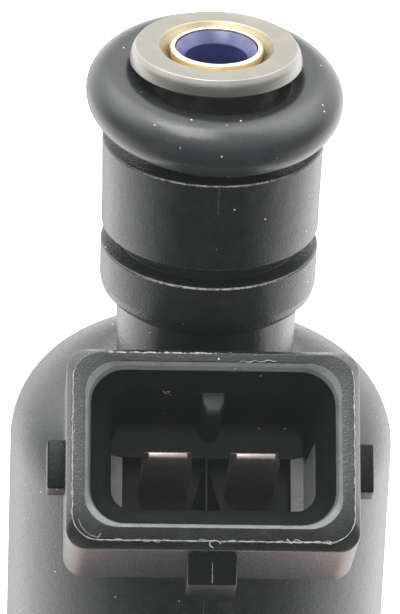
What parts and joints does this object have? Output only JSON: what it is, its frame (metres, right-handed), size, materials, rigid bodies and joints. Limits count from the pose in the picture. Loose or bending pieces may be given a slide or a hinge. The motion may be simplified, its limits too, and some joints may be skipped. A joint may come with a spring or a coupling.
{
  "type": "fuel injector",
  "caption": "Top-feed port fuel injector with a plastic overmoulded body, tilted two-way connector, O-rings, coil and a sliding armature needle.",
  "frame": {"origin": "on the injector axis at the centre of the lower O-ring, where the manifold port holds it", "axes": "+Z along the injector axis towards the fuel inlet, -Y towards the side the connector leans out over, +X to the right seen from the connector"},
  "size_m": [0.0226, 0.0291, 0.0738],
  "materials": {
    "tube_steel": "satin, turned",
    "ring_rubber": "smooth, slightly glossy",
    "filter_brass": "polished",
    "filter_plastic": "moulded",
    "screen_mesh": "fine woven mesh",
    "inner_steel": "machined",
    "spring_steel": "drawn wire",
    "armature_steel": "turned",
    "needle_steel": "ground",
    "stainless": "turned",
    "shell_steel": "satin, turned",
    "nozzle_steel": "satin, turned",
    "housing_steel": "satin, plated",
    "retainer_plastic": "moulded",
    "bobbin_plastic": "moulded, glass filled",
    "winding_copper": "enamelled copper wire",
    "terminal_tin": "tinned, bare copper alloy on the cut edges",
    "cover_plastic": "moulded, fine texture"
  },
  "bodies": {
    "injector_body": {"inlet_tube": "tube_steel", "upper_o_ring": "ring_rubber", "filter_collar": "filter_brass", "filter_frame": "filter_plastic", "filter_screen": "screen_mesh", "adjustment_tube": "inner_steel", "return_spring": "spring_steel", "nonmagnetic_shell": "stainless", "valve_body_shell": "shell_steel", "valve_body": "nozzle_steel", "needle_guide": "stainless", "valve_seat": "stainless", "seat_seal_ring": "ring_rubber", "orifice_disk": "inner_steel", "seat_retainer": "stainless", "lower_o_ring": "ring_rubber", "lower_ring_retainer": "retainer_plastic", "coil_bobbin": "bobbin_plastic", "coil_winding": "winding_copper", "coil_housing": "housing_steel", "flux_washer": "inner_steel", "terminal_left": "terminal_tin", "terminal_right": "terminal_tin", "connector_cover": "cover_plastic"},
    "armature_needle": {"armature": "armature_steel", "needle_valve": "needle_steel"}
  },
  "joints": [
    {"name": "needle_lift", "type": "slide", "parent": "injector_body", "child": "armature_needle", "axis": [0, 0, 1], "range_m": [0, 0.0001], "stiffness_N_per_m": 100, "springref_m": -0.005, "deforming": ["return_spring"]}
  ]
}
